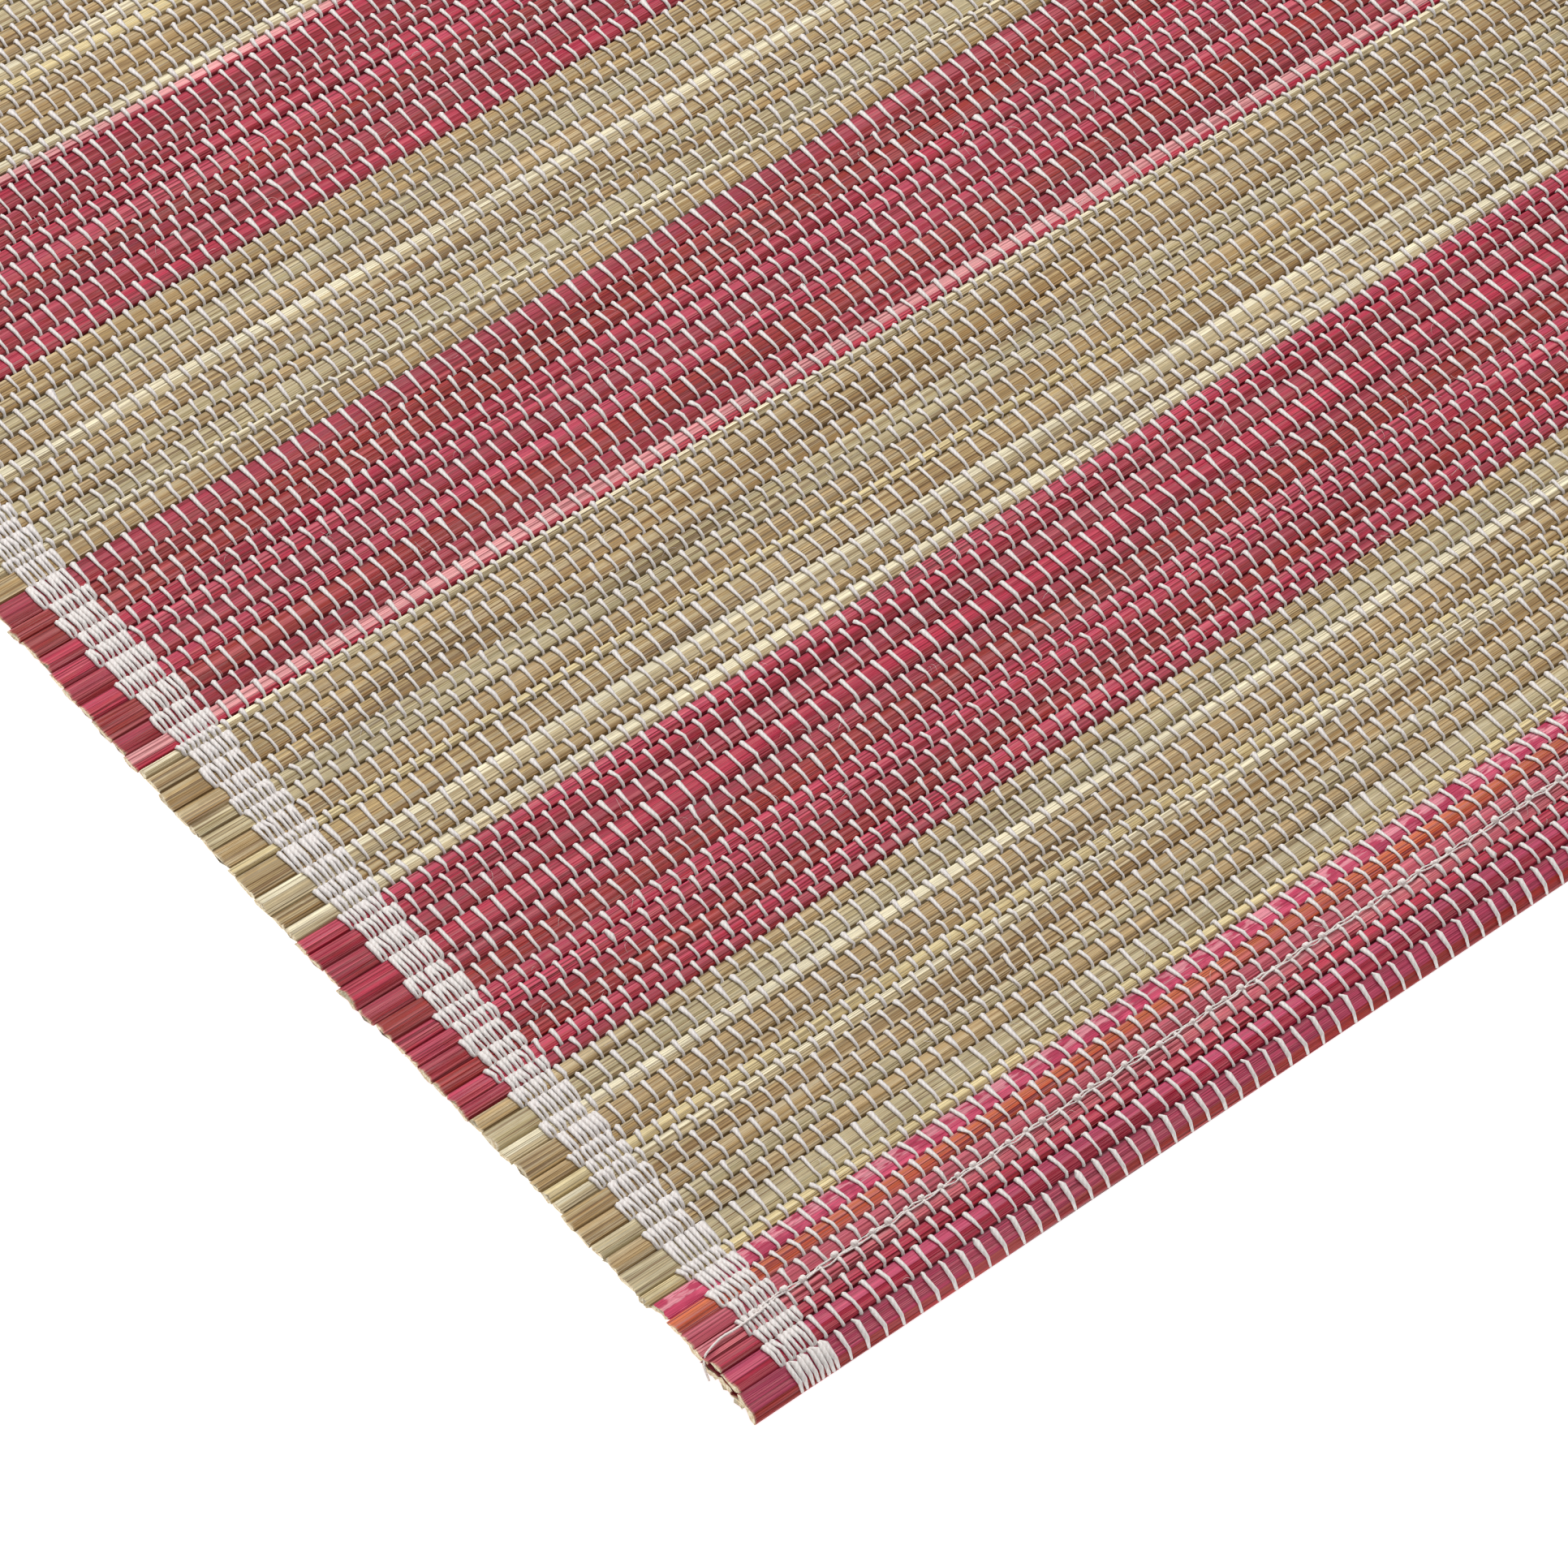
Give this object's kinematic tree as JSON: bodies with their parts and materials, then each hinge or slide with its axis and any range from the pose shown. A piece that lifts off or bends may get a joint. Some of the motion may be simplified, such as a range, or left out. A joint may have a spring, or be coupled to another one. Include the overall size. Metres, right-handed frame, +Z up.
{
  "type": "bamboo placemat",
  "caption": "Rectangular table mat of split bamboo woven with white cotton yarn, striped rose and natural, with a hem turned under along each long edge.",
  "frame": {"origin": "middle of the mat's footprint, on the surface that it lies on", "axes": "+X along the bamboo splints and the long side, +Y across the stripes, +Z up"},
  "size_m": [0.45, 0.3298, 0.0046],
  "materials": {
    "bamboo": "satin",
    "cotton_yarn": "matte"
  },
  "bodies": {
    "root": {"woven_mat": "bamboo"}
  },
  "joints": []
}
